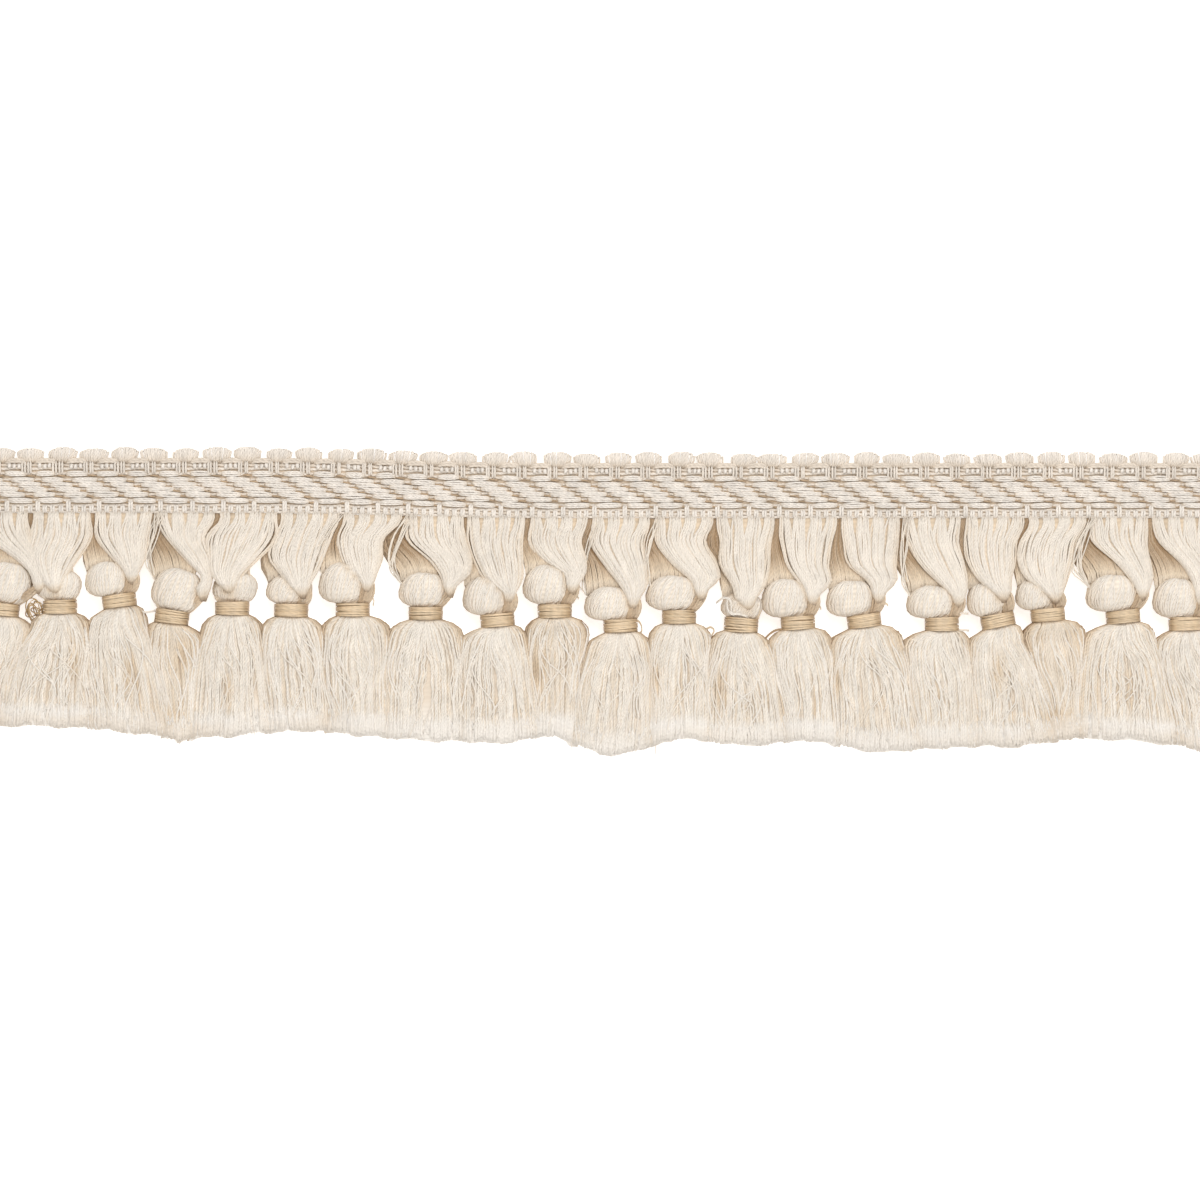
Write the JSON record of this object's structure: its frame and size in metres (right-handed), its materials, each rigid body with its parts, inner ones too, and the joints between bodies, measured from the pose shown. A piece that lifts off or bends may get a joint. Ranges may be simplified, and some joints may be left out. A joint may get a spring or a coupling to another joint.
{
  "type": "tassel trim",
  "caption": "Woven cream heading with a picot edge and knotted hanks of yarn, each bound with satin thread and cut to a soft tassel, lying flat.",
  "frame": {"origin": "middle of the heading's flat back, halfway along its length and across its woven width", "axes": "+X along the heading, +Y across it towards the picot edge, +Z out of its face; the tassels hang towards -Y and the back rests at z = 0"},
  "size_m": [0.3013, 0.072, 0.0078],
  "materials": {
    "heading_cotton": "matt woven cotton",
    "fringe_cotton": "matt soft cotton yarn",
    "binding_satin": "satin thread"
  },
  "bodies": {
    "root": {"heading": "heading_cotton", "tassel_01": "fringe_cotton", "tassel_02": "fringe_cotton", "tassel_03": "fringe_cotton", "tassel_04": "fringe_cotton", "tassel_05": "fringe_cotton", "tassel_06": "fringe_cotton", "tassel_07": "fringe_cotton", "tassel_08": "fringe_cotton", "tassel_09": "fringe_cotton", "tassel_10": "fringe_cotton", "tassel_11": "fringe_cotton", "tassel_12": "fringe_cotton", "tassel_13": "fringe_cotton", "tassel_14": "fringe_cotton", "tassel_15": "fringe_cotton", "tassel_16": "fringe_cotton", "tassel_17": "fringe_cotton", "tassel_18": "fringe_cotton", "tassel_19": "fringe_cotton", "tassel_20": "fringe_cotton", "binding_01": "binding_satin", "binding_02": "binding_satin", "binding_03": "binding_satin", "binding_04": "binding_satin", "binding_05": "binding_satin", "binding_06": "binding_satin", "binding_07": "binding_satin", "binding_08": "binding_satin", "binding_09": "binding_satin", "binding_10": "binding_satin", "binding_11": "binding_satin", "binding_12": "binding_satin", "binding_13": "binding_satin", "binding_14": "binding_satin", "binding_15": "binding_satin", "binding_16": "binding_satin", "binding_17": "binding_satin", "binding_18": "binding_satin", "binding_19": "binding_satin", "binding_20": "binding_satin"}
  },
  "joints": []
}
